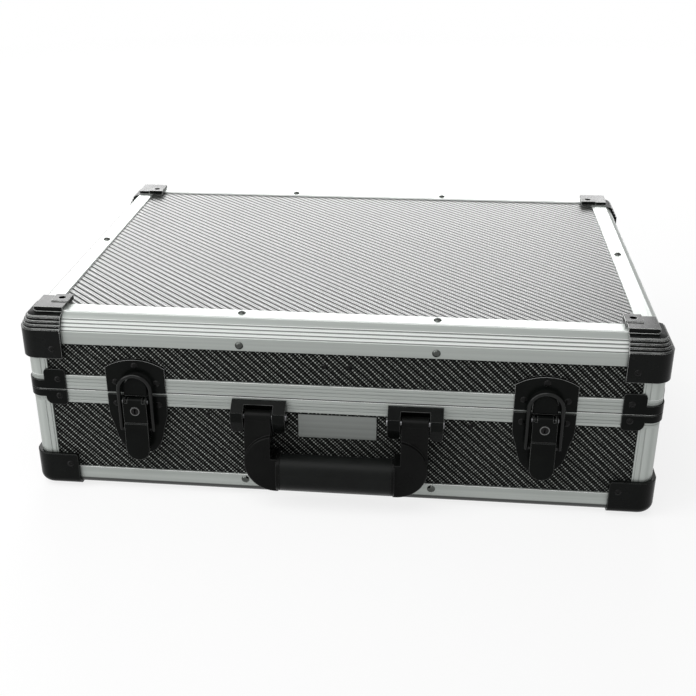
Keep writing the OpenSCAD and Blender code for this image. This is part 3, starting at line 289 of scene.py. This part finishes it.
def laminateMaterial(name, specular, depth):
    m, t, s, c = newMaterial(name)
    s["Specular IOR Level"].default_value = specular
    plane = useGroup(t, "plane", Object=c["Object"], Normal=c["Normal"])["Plane"]
    w = useGroup(t, "weave", Plane=plane)
    f = useGroup(t, "scuffs", Object=c["Object"], Size=laminate["cloudSize"])
    colour = t.mix(w["Dark"], rgba(laminate["ground"]), rgba(laminate["dark"]))
    colour = t.mix(w["Light"], colour, rgba(laminate["light"]))
    clouds = t.times(f["Cloud"], laminate["clouds"])
    t.put(s["Base Color"], t.mix(clouds, colour, rgba(laminate["cloud"])))
    rough = laminate["rough"]
    roughness = t.mix(w["Dark"], rough["ground"], rough["dark"], "FLOAT")
    t.put(s["Roughness"], t.mix(w["Light"], roughness, rough["light"], "FLOAT"))
    t.put(s["Normal"], bump(t, w["Height"], depth, laminate["relief"]))
    return m


# anodised aluminium. The lines' values are how fast they change along and across the draw

aluminium = {"light": (0.42, 0.445, 0.425), "dark": (0.26, 0.28, 0.265),
             "speck": (0.3, 0.3, 0.3), "specks": 0.35, "cloudSize": 30.0,
             "metallic": 0.55, "roughFrom": (0.3, 0.7), "roughTo": (0.30, 0.44),
             "along": 14.0, "across": 2400.0, "lineDepth": 0.00002, "lineRelief": 0.35,
             "edgeRadius": 0.0004}
# the post's shade of 1.1 makes a lighter copy of the metal, painted light from the left; the
# plate's 0.5 is its own darker tone
drawn = {"post": {"name": "drawnPost", "stretch": (2400.0, 2400.0, 14.0), "shade": 1.1},
         "plate": {"name": "brushedPlate", "stretch": (30.0, 3000.0, 3000.0), "shade": 0.5}}


def anodisedColour(t, c, wide, shade=1.0):
    f = useGroup(t, "scuffs", Object=c["Object"], Size=aluminium["cloudSize"])
    colour = t.mix(wide, rgba(aluminium["dark"], shade), rgba(aluminium["light"], shade))
    return t.mix(t.times(f["Speck"], aluminium["specks"]), colour, rgba(aluminium["speck"]))


def anodisedSurface(t, s, lines, normal):
    rough = t.ramp(lines, *aluminium["roughFrom"], *aluminium["roughTo"], "LINEAR")
    t.put(s["Roughness"], rough)
    t.put(s["Normal"], bump(t, lines, aluminium["lineDepth"], aluminium["lineRelief"], normal))


def aluminiumMaterial(name, stretch, shade=1.0):
    # drawn or brushed one way only: stretch is how fast the lines change along X, Y and Z
    m, t, s, c = newMaterial(name, metallic=aluminium["metallic"])
    lines = useGroup(t, "lines", Object=c["Object"], Stretch=stretch)
    t.put(s["Base Color"], anodisedColour(t, c, lines["Wide"], shade))
    anodisedSurface(t, s, lines["Lines"], rounded(t, aluminium["edgeRadius"]))
    return m


# painted highlights and painted shade on the profiles' metal, by place: heights and reaches are
# in millimetres, the ribs' tilt is a slope and facing is how far an edge has to look up

shoulder = {"from": 132.2, "to": 140.9, "rise": 2.55, "tilt": 0.30, "fade": (0.1, 0.2),
            "ribs": (0.72, 0.745, 0.725), "foot": (0.10, 0.105, 0.10), "footRise": (0.30, 0.12),
            "uprightBelow": 0.7}
legEdgeHighlights = {"at": (18.7, 84.6, 96.6), "reach": 0.9, "radius": 0.0007,
            "facing": (0.10, 0.40), "colour": (0.95, 0.97, 0.95)}
shadeBands = {"lipTo": 9.4, "lipFade": 0.8, "undersideBelow": -0.95, "seamAt": 85.35,
             "seamReach": 0.45, "colour": (0.05, 0.052, 0.05)}


def shoulderHighlightAndShade(t, c, z, colour):
    # painted highlight on the upright faces of the ribs, and painted shade at the foot of each
    # one
    upright = t.sum("LESS_THAN", t.split(c["Normal"])[2], shoulder["uprightBelow"])
    lowFade, highFade = shoulder["fade"]
    ribs = t.times(t.ramp(z, shoulder["from"] - lowFade, shoulder["from"] + lowFade), upright)
    up = t.sum("FRACT", t.sum("DIVIDE", t.minus(z, shoulder["from"]), shoulder["rise"]))
    foot = t.times(t.ramp(up, *shoulder["footRise"]),
                   t.ramp(z, shoulder["to"], shoulder["to"] - highFade))
    colour = t.mix(ribs, colour, rgba(shoulder["ribs"]))
    return t.mix(t.times(ribs, foot), colour, rgba(shoulder["foot"]))


def legEdgeHighlight(t, c, z, colour):
    # painted highlight along the upper edges of the legs, where they face up
    rounder = rounded(t, legEdgeHighlights["radius"])
    turned = t.add("ShaderNodeVectorTransform", {"Vector": rounder}, vector_type="NORMAL",
                   convert_from="WORLD", convert_to="OBJECT").outputs["Vector"]
    edge = t.times(edgeMask(t, c, rounder), t.ramp(t.split(turned)[2], *legEdgeHighlights["facing"]))
    near = [t.sum("COMPARE", z, height, legEdgeHighlights["reach"]) for height in legEdgeHighlights["at"]]
    edge = t.times(edge, t.plus(t.plus(near[0], near[1]), near[2]))
    return t.mix(edge, colour, rgba(legEdgeHighlights["colour"]))


def shadeBandColour(t, c, z, colour):
    # painted shade on the round lowest edge, which faces the floor, and in the seam between lid
    # and base
    above = t.sum("GREATER_THAN", t.split(c["Normal"])[2], shadeBands["undersideBelow"])
    lip = t.times(t.ramp(z, shadeBands["lipTo"], shadeBands["lipTo"] - shadeBands["lipFade"]), above)
    seam = t.sum("COMPARE", z, shadeBands["seamAt"], shadeBands["seamReach"])
    return t.mix(t.sum("MAXIMUM", lip, seam), colour, rgba(shadeBands["colour"]))


def profileMaterial(name):
    # profiles that run along X on the long sides and along Y on the short ones
    m, t, s, c = newMaterial(name, metallic=aluminium["metallic"])
    x, y, z = t.millimetres(c["Object"])
    insetX = t.minus(case["width"] / 2, t.sum("ABSOLUTE", x))
    insetY = t.minus(case["depth"] / 2, t.sum("ABSOLUTE", t.minus(y, case["midY"])))
    side = t.sum("LESS_THAN", insetX, insetY)
    along, across = aluminium["along"], aluminium["across"]
    onX = useGroup(t, "lines", Object=c["Object"], Stretch=(along, across, across))
    onY = useGroup(t, "lines", Object=c["Object"], Stretch=(across, along, across))
    lines = t.mix(side, onX["Lines"], onY["Lines"], "FLOAT")
    colour = anodisedColour(t, c, t.mix(side, onX["Wide"], onY["Wide"], "FLOAT"))
    # painted highlights and painted shade, by place, over the metal's colour
    for change in (shoulderHighlightAndShade, legEdgeHighlight, shadeBandColour):
        colour = change(t, c, z, colour)
    t.put(s["Base Color"], colour)
    # the ribs' faces lean a little
    over = t.sum("MAXIMUM", t.minus(z, shoulder["from"]), 0.0)
    lean = t.times(over, -shoulder["tilt"] * mm)
    soft = bump(t, lean, 1.0, 1.0, rounded(t, aluminium["edgeRadius"]))
    anodisedSurface(t, s, lines, soft)
    return m


# black pieces: wearAndHighlightShare is how much of an edge has the edge's colour, which is
# partly wear and partly painted highlight; radius and grain are in metres, and edges below
# lessBelow, in millimetres, get less of it

coolBlack, neutralBlack = (0.003, 0.0035, 0.0032), (0.003, 0.0032, 0.003)
blacks = {
    # the lid caps' near-white edges are mostly painted highlight on the ribs; capLow is the same
    # plastic with dimmer painted edges, and keeper is the fittings' coating with brighter painted
    # edges
    "cap": {"name": "mouldedCap", "roughness": 0.26, "specular": 0.09,
            "wearAndHighlightShare": 1.0, "edge": (0.80, 0.82, 0.80), "lessBelow": shoulder["from"] - 0.5},
    "capLow": {"name": "mouldedCapLow", "roughness": 0.26, "specular": 0.07,
               "wearAndHighlightShare": 0.5, "edge": (0.10, 0.105, 0.10)},
    "fitting": {"name": "coatedFitting", "roughness": 0.22, "specular": 0.05,
                "wearAndHighlightShare": 0.6, "edge": (0.16, 0.165, 0.16)},
    "keeper": {"name": "coatedKeeper", "roughness": 0.22, "specular": 0.05,
               "wearAndHighlightShare": 0.8, "edge": (0.42, 0.43, 0.42), "radius": 0.0005},
    "wire": {"name": "coatedWire", "roughness": 0.14, "specular": 0.2, "wearAndHighlightShare": 0.3},
    "handle": {"name": "mouldedHandle", "colour": neutralBlack, "roughness": 0.30,
               "specular": 0.06, "wearAndHighlightShare": 0.3, "radius": 0.0009},
    "grip": {"name": "gripSleeve", "colour": (0.004, 0.0045, 0.0042), "roughness": 0.42,
             "specular": 0.10, "wearAndHighlightShare": 0.1, "grain": 0.00008},
    "screw": {"name": "oxideScrew", "colour": neutralBlack, "roughness": 0.2,
              "specular": 0.1, "wearAndHighlightShare": 0.6, "radius": 0.0002, "grain": 0.00001},
}
blackSurface = {"cloudSize": 45.0, "cloudShade": 1.5, "cloudRough": (-0.04, 0.06),
                "speck": (0.04, 0.04, 0.04), "specks": 0.2, "relief": 0.4,
                "lessWornAndLit": 0.35, "lessFade": 1.0}


def blackMaterial(name, roughness, specular, wearAndHighlightShare, edge=(0.06, 0.06, 0.06),
                  colour=coolBlack, radius=0.0006, grain=0.00003, lessBelow=None):
    # moulded or coated black with a little grain, softened edges and a lighter colour along them,
    # partly wear and partly painted highlight
    look = blackSurface
    m, t, s, c = newMaterial(name)
    s["Specular IOR Level"].default_value = specular
    f = useGroup(t, "scuffs", Object=c["Object"], Size=look["cloudSize"])
    soft = rounded(t, radius)
    wearAndHighlight = edgeMask(t, c, soft)
    if lessBelow:
        height = t.millimetres(c["Object"])[2]
        less = t.ramp(height, lessBelow - look["lessFade"], lessBelow, look["lessWornAndLit"], 1.0)
        wearAndHighlight = t.times(wearAndHighlight, less)
    base = t.mix(f["Cloud"], rgba(colour), rgba(colour, look["cloudShade"]))
    base = t.mix(t.times(f["Speck"], look["specks"]), base, rgba(look["speck"]))
    t.put(s["Base Color"], t.mix(t.times(wearAndHighlight, wearAndHighlightShare), base, rgba(edge)))
    rough = [roughness + change for change in look["cloudRough"]]
    t.put(s["Roughness"], t.ramp(f["Cloud"], 0.0, 1.0, *rough, "LINEAR"))
    t.put(s["Normal"], bump(t, f["Grain"], grain, look["relief"], soft))
    return m


# small turned and polished pieces

# the rivets' dark colour is a painted dark reflection of what stands round them
brights = {"rivet": {"name": "polishedRivet", "colour": (0.07, 0.075, 0.07), "roughness": 0.14},
           "pin": {"name": "turnedPin", "colour": (0.25, 0.25, 0.26), "roughness": 0.3}}
turned = {"cloudSize": 200.0, "cloudShade": 0.8, "cloudRough": 0.12, "radius": 0.0002,
          "grain": 0.00001, "relief": 0.3}


def turnedSurface(t, s, c):
    f = useGroup(t, "scuffs", Object=c["Object"], Size=turned["cloudSize"])
    soft = rounded(t, turned["radius"])
    t.put(s["Normal"], bump(t, f["Grain"], turned["grain"], turned["relief"], soft))
    return f


def turnedMaterial(name, colour, roughness):
    m, t, s, c = newMaterial(name, metallic=1.0)
    f = turnedSurface(t, s, c)
    t.put(s["Base Color"], t.mix(f["Cloud"], rgba(colour), rgba(colour, turned["cloudShade"])))
    rough = (roughness, roughness + turned["cloudRough"])
    t.put(s["Roughness"], t.ramp(f["Cloud"], 0.0, 1.0, *rough, "LINEAR"))
    return m


lock = {"x": 148.0, "z": 74.0, "face": (0.012, 0.012, 0.012), "rim": (0.17, 0.175, 0.17),
        "rimFrom": 2.75, "rimTo": 3.05, "roughness": 0.22,
        "cloud": (0.05, 0.05, 0.05), "clouds": 0.3}


def lockMaterial():
    # dark face and bright rim by the distance from the plug's axis; the rim's brightness is a
    # painted highlight
    m, t, s, c = newMaterial("lockPlug", lock["roughness"], 1.0)
    x, _, z = t.millimetres(c["Object"])
    offX = t.minus(t.sum("ABSOLUTE", x), lock["x"])
    offZ = t.minus(z, lock["z"])
    out = t.sum("SQRT", t.plus(t.times(offX, offX), t.times(offZ, offZ)))
    rim = t.ramp(out, lock["rimFrom"], lock["rimTo"])
    f = turnedSurface(t, s, c)
    colour = t.mix(rim, rgba(lock["face"]), rgba(lock["rim"]))
    colour = t.mix(t.times(f["Cloud"], lock["clouds"]), colour, rgba(lock["cloud"]))
    t.put(s["Base Color"], colour)
    return m


cloth = {"loopSize": 900.0, "loop": (0.065, 0.066, 0.070), "gap": (0.022, 0.022, 0.024),
         "napSize": 60.0, "nap": (0.05, 0.05, 0.054), "napFrom": (0.35, 0.7),
         "roughness": 0.92, "sheen": 0.3, "sheenRoughness": 0.5, "depth": 0.0004, "relief": 0.6}


def clothMaterial():
    # short-pile cloth: a tight knit of small loops with a soft nap
    m, t, s, c = newMaterial("liningCloth", cloth["roughness"])
    loops = t.add("ShaderNodeTexVoronoi", {"Vector": c["Object"], "Scale": cloth["loopSize"]})
    loops = loops.outputs["Distance"]
    nap = t.noise(c["Object"], cloth["napSize"], 5.0, 0.6)
    colour = t.mix(loops, rgba(cloth["loop"]), rgba(cloth["gap"]))
    colour = t.mix(t.ramp(nap, *cloth["napFrom"]), colour, rgba(cloth["nap"]))
    t.put(s["Base Color"], colour)
    s["Sheen Weight"].default_value = cloth["sheen"]
    s["Sheen Roughness"].default_value = cloth["sheenRoughness"]
    t.put(s["Normal"], bump(t, loops, cloth["depth"], cloth["relief"]))
    return m


materials = {
    "laminate": laminateMaterial(**laminate["sides"]),
    "top": laminateMaterial(**laminate["top"]),
    "profile": profileMaterial("drawnAluminium"),
    **{finish: aluminiumMaterial(**look) for finish, look in drawn.items()},
    **{finish: blackMaterial(**look) for finish, look in blacks.items()},
    **{finish: turnedMaterial(**look) for finish, look in brights.items()},
    "lock": lockMaterial(),
    "lining": clothMaterial(),
}
print("materials made")


# where each finish goes

def bothSides(*names):
    return [f"{name}_{side}" for side in ("left", "right") for name in names]


def allSides(name):
    return [f"{name}_{side}" for side in ("front", "rear", "left", "right")]


finishes = {
    "laminate": [f"{name}_panel" for name in allSides("base") + allSides("lid")]
    + ["base_bottom_panel"],
    "top": ["lid_top_panel"],
    "profile": ["base_bottom_edges", "base_closure_frame", "lid_top_edges", "lid_closure_frame"],
    "post": ["base_corner_posts", "lid_corner_posts"],
    "cap": bothSides("lid_cap_front", "lid_cap_rear"),
    "capLow": bothSides("base_cap_front", "base_cap_rear"),
    "fitting": ["base_closure_corners", "lid_closure_corners"]
    + bothSides("latch_plate", "latch_lever", "hinge_lower", "hinge_upper", "handle_bracket"),
    "keeper": bothSides("keeper"),
    "wire": bothSides("latch_bail"),
    "handle": ["handle_frame"],
    "grip": ["handle_grip"],
    "screw": ["base_screws", "lid_screws", "base_black_rivets", "lid_black_rivets"],
    "rivet": ["base_rivets", "lid_rivets"],
    "pin": ["handle_pins", "lever_pins", "hinge_pins"],
    "lock": bothSides("lock_plug"),
    "plate": ["name_plate"],
}
for finish, nodes in finishes.items():
    for name in nodes:
        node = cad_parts[name]
        node.data.materials.clear()
        node.data.materials.append(materials[finish])
print("finishes given to the packed pieces")


# new pieces

def newPiece(name, points, faces):
    mesh = bpy.data.meshes.new(name)
    mesh.from_pydata(points.tolist(), [], faces)
    mesh.shade_smooth()
    piece = bpy.data.objects.new(name, mesh)
    bpy.context.scene.collection.objects.link(piece)
    return piece


def roundedLoops(halfX, halfY, radius, count):
    # rectangles with round corners, one for each value given, walked once round: each quarter
    # is a corner arc, radius times cosine and sine of the turn, and then a straight
    share = np.linspace(0, 1, count // 4, endpoint=False)
    arc, straight = np.clip(share * 2, 0, 1), np.clip(share * 2 - 1, 0, 1)
    signs = [(1, 1), (-1, 1), (-1, -1), (1, -1), (1, 1)]
    corner = np.stack([halfX - radius, halfY - radius], -1)[:, None]
    loops = []
    for quarter in range(4):
        turn = np.radians(90 * (quarter + arc))
        here, after = (np.multiply(signs[quarter + k], corner) for k in (0, 1))
        centre = here + straight[:, None] * (after - here)
        out = np.stack([np.cos(turn), np.sin(turn)], -1)
        loops.append(centre + radius[:, None, None] * out)
    return np.concatenate(loops, 1)


# the linings of base and lid, in millimetres

lining = {"wall": 3.0, "fillet": 8.0, "swell": 0.5, "crown": 0.9, "middleInset": 150.0,
          "corner": 9.0, "cornerLeast": 0.6, "bevel": 1.5, "stepSlope": (0.6, -0.2),
          "rings": {"floor": 16, "fillet": 8, "wall": 12, "rim": 9, "under": 6}, "around": 192,
          "slot": "lining_foam",
          "base": {"inset": 5.75, "rimZ": 74.1, "farZ": 9.25, "step": 0.0, "stepZ": 0.0},
          "lid": {"inset": 5.75, "rimZ": 96.8, "farZ": 139.2, "step": 3.1, "stepZ": 134.1}}


def trayProfile(tray):
    # insets and heights of the rings, from the middle of the inner face outwards, up the inner
    # wall, over a round rim, down the outer wall and back under the floor. The floor is crowned
    # by a cosine, its fillet a quarter circle, the inner wall swells by a sine and the rim is
    # half a circle. Heights count from the far face
    wall, fillet, middle = (lining[k] for k in ("wall", "fillet", "middleInset"))
    deep = abs(tray["rimZ"] - tray["farZ"])
    inner, outer = tray["inset"] + wall, tray["inset"]
    under = outer + tray["step"] + lining["bevel"]
    rings = lining["rings"]

    k = np.linspace(0, 1, rings["floor"], endpoint=False)
    parts = [(middle + (inner + fillet - middle) * k,
              wall + lining["crown"] * np.cos(np.pi * k / 2))]
    k = np.linspace(0, np.pi / 2, rings["fillet"])
    parts.append((inner + fillet * (1 - np.sin(k)), wall + (fillet - wall) * (1 - np.cos(k))))
    k = np.linspace(0, 1, rings["wall"])[1:-1]
    parts.append((inner + lining["swell"] * np.sin(np.pi * k),
                  fillet + (deep - wall / 2 - fillet) * k))
    k = np.linspace(0, np.pi, rings["rim"])
    parts.append((outer + wall / 2 * (1 + np.cos(k)), deep - wall / 2 * (1 - np.sin(k))))
    if tray["step"]:
        # the outer wall steps inwards below the lid's shoulder
        low = abs(tray["stepZ"] - tray["farZ"])
        slope = [low + rise for rise in lining["stepSlope"]]
        parts.append(([outer, outer + tray["step"]], slope))
    parts.append(([outer + tray["step"], under], [lining["bevel"], 0.0]))
    k = np.linspace(0, 1, rings["under"])[1:]
    parts.append((under + (middle - under) * k, 0.0 * k))
    return np.concatenate([np.stack(part, -1) for part in parts]).T


def linedTray(name, body, node, tray):
    # a shallow tray: the profile's rings, each one a rounded rectangle, joined by quads
    inset, height = trayProfile(tray)
    up = math.copysign(1.0, tray["rimZ"] - tray["farZ"])
    radius = np.maximum(lining["cornerLeast"], lining["corner"] - (inset - tray["inset"]))
    loops = roundedLoops(case["width"] / 2 - inset, case["depth"] / 2 - inset, radius,
                         lining["around"])
    heights = np.broadcast_to((tray["farZ"] + up * height)[:, None, None], (*loops.shape[:2], 1))
    points = np.concatenate([loops + (0.0, case["midY"]), heights], -1) * mm

    rows, cols = points.shape[:2]
    r, k = np.meshgrid(np.arange(rows - 1), np.arange(cols), indexing="ij")
    after = (k + 1) % cols
    faces = np.stack([r * cols + k, r * cols + after, (r + 1) * cols + after, (r + 1) * cols + k],
                     -1).reshape(-1, 4)
    first, last = range(cols)[::-1], range((rows - 1) * cols, rows * cols)
    faces = faces.tolist() + [list(first), list(last)]
    if up > 0:
        faces = [face[::-1] for face in faces]
    piece = newPiece(name, points.reshape(-1, 3), faces)
    piece.data.materials.append(materials["lining"])
    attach(piece, body)
    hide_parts(node)


linedTray("base_lining_cloth", "base", "base_lining", lining["base"])
linedTray("lid_lining_cloth", "lid", "lid_lining", lining["lid"])
print("linings made")


# camera, fitted to the photograph's straight edges: pixels, degrees and millimetres

lens = {"focal": 1040.63, "centreX": 329.2, "centreY": 336.72, "yaw": -6.37, "pitch": 24.96,
        "roll": 0.48, "place": (68.22, -812.6, 444.48), "frame": 696.0, "sensor": 36.0,
        "clip": (0.05, 50.0)}


def makeCamera():
    data = bpy.data.cameras.new("photographCamera")
    data.sensor_width = lens["sensor"]
    data.lens = lens["focal"] / lens["frame"] * lens["sensor"]
    data.shift_x = (lens["frame"] / 2 - lens["centreX"]) / lens["frame"]
    data.shift_y = -(lens["frame"] / 2 - lens["centreY"]) / lens["frame"]
    data.clip_start, data.clip_end = lens["clip"]
    yaw, pitch, roll = (math.radians(lens[k]) for k in ("yaw", "pitch", "roll"))
    forward = np.array([math.sin(yaw) * math.cos(pitch), math.cos(yaw) * math.cos(pitch),
                        -math.sin(pitch)])
    right = np.array([math.cos(yaw), -math.sin(yaw), 0.0])
    down = np.cross(forward, right)
    x = math.cos(roll) * right + math.sin(roll) * down
    y = math.sin(roll) * right - math.cos(roll) * down
    turn = Matrix((x, y, -forward)).transposed().to_4x4()
    camera = bpy.data.objects.new("photographCamera", data)
    bpy.context.scene.collection.objects.link(camera)
    camera.matrix_world = Matrix.Translation([v * mm for v in lens["place"]]) @ turn
    bpy.context.scene.camera = camera


makeCamera()
print("camera placed")


# floor and light, in metres and watts

studio = {"floor": {"size": 30.0, "colours": (0.95, 0.94), "patchSize": 3.0, "glow": 0.8,
                    "fade": (0.7, 2.2)},
          "world": 0.33,
          "lamps": {"backSoftbox": {"stand": (-0.24, 1.75, 0.85), "aim": (0, 0, 0.145),
                                    "size": (1.80, 0.70), "power": 28.0},
                    "topSoftbox": {"stand": (-0.35, -0.65, 1.40), "aim": (0, 0, 0.1),
                                   "size": (1.50, 1.00), "power": 12.0},
                    "leftSoftbox": {"stand": (-1.10, -0.70, 0.75), "aim": (0, 0, 0.1),
                                    "size": (0.80, 0.80), "power": 7.0}}}


def seenRays(t):
    # 1 for what the camera sees, straight, mirrored or through glass
    path = t.add("ShaderNodeLightPath").outputs
    mirrored = t.sum("MAXIMUM", path["Is Glossy Ray"], path["Is Transmission Ray"])
    return t.sum("MAXIMUM", path["Is Camera Ray"], mirrored)


def makeFloor():
    # pale and matt, and fading outwards into the white that stands round it
    look = studio["floor"]
    corners = np.array([(-1, -1, 0), (1, -1, 0), (1, 1, 0), (-1, 1, 0)]) * look["size"]
    floor = newPiece("floor", corners, [(0, 1, 2, 3)])
    m, t, s, c = newMaterial("paleFloor", 0.9)
    s["Specular IOR Level"].default_value = 0.0
    patches = t.noise(c["Object"], look["patchSize"])
    x, y, _ = t.split(c["Object"])
    far = t.sum("SQRT", t.plus(t.times(x, x), t.times(y, y)))
    t.put(s["Alpha"], t.ramp(far, *look["fade"], 1.0, 0.0))
    glow = t.times(seenRays(t), look["glow"])
    colour = t.mix(patches, *(rgba((grey, grey, grey)) for grey in look["colours"]))
    t.put(s["Base Color"], t.mix(glow, colour, (0, 0, 0, 1)))
    t.put(s["Emission Strength"], glow)
    t.put(s["Emission Color"], (1, 1, 1, 1))
    floor.data.materials.append(m)


def makeWorld():
    world = bpy.data.worlds.new("paleRoom")
    bpy.context.scene.world = world
    world.use_nodes = True
    t = Tree(world.node_tree)
    t.nodes.clear()
    strength = t.mix(seenRays(t), studio["world"], 1.0, "FLOAT")
    sky = t.add("ShaderNodeBackground", {"Color": (1, 1, 1, 1), "Strength": strength})
    t.add("ShaderNodeOutputWorld", {"Surface": sky.outputs[0]})


def makeLamp(name, stand, aim, size, power):
    # a softbox that looks from its stand at its aim, with its long side level
    data = bpy.data.lights.new(name, "AREA")
    data.shape = "RECTANGLE"
    data.size, data.size_y = size
    data.energy = power
    lamp = bpy.data.objects.new(name, data)
    bpy.context.scene.collection.objects.link(lamp)
    back = np.array(stand, float) - np.array(aim, float)
    back /= np.linalg.norm(back)
    side = np.cross((0, 0, 1), back)
    side /= np.linalg.norm(side)
    turn = Matrix((side, np.cross(back, side), back)).transposed().to_4x4()
    lamp.matrix_world = Matrix.Translation(stand) @ turn


makeFloor()
makeWorld()
for name, lamp in studio["lamps"].items():
    makeLamp(name, **lamp)
bpy.context.scene.view_settings.view_transform = "Standard"
print("studio lit")
